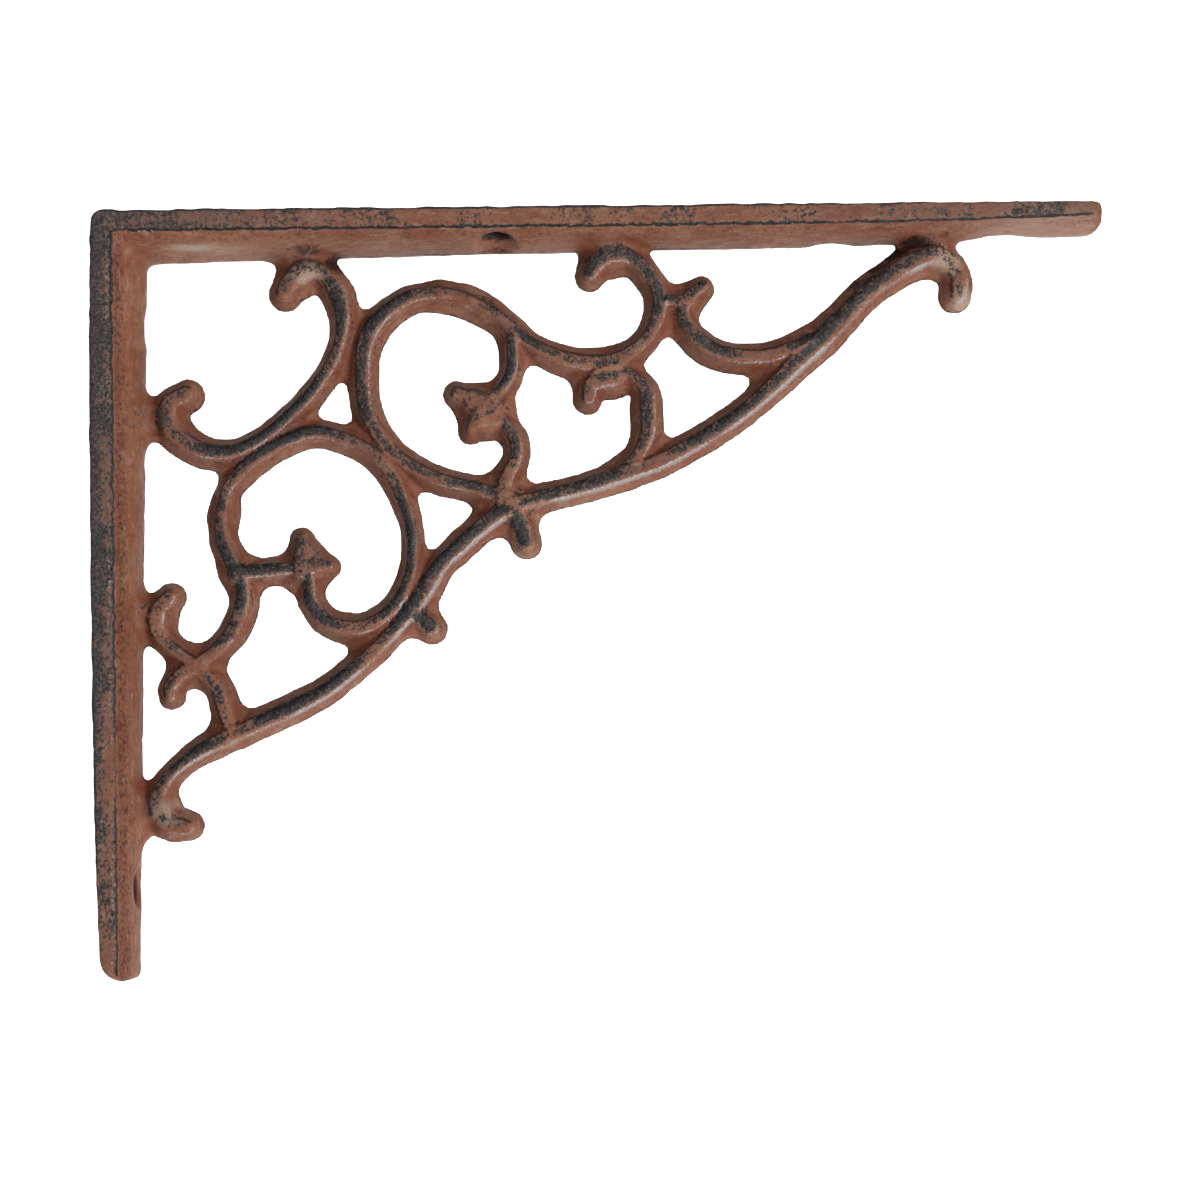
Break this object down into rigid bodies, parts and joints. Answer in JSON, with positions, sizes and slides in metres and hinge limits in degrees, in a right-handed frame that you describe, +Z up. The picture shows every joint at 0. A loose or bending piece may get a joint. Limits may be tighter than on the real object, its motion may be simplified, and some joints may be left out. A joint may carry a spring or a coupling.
{
  "type": "ornate cast iron shelf bracket",
  "caption": "Right-angle shelf bracket with a wall arm, a shelf arm and open scrollwork held by a curved brace.",
  "frame": {"origin": "on the wall face, in the middle of the width and halfway down the wall arm", "axes": "+X out from the wall along the shelf arm, +Z up towards the shelf, Y across the bracket's width"},
  "size_m": [0.24, 0.022, 0.178],
  "materials": {
    "rust_brown_iron": "rust brown paint rubbed through to blue-black iron on the ridges and edges"
  },
  "bodies": {
    "root": {"bracket_casting": "rust_brown_iron"}
  },
  "joints": []
}
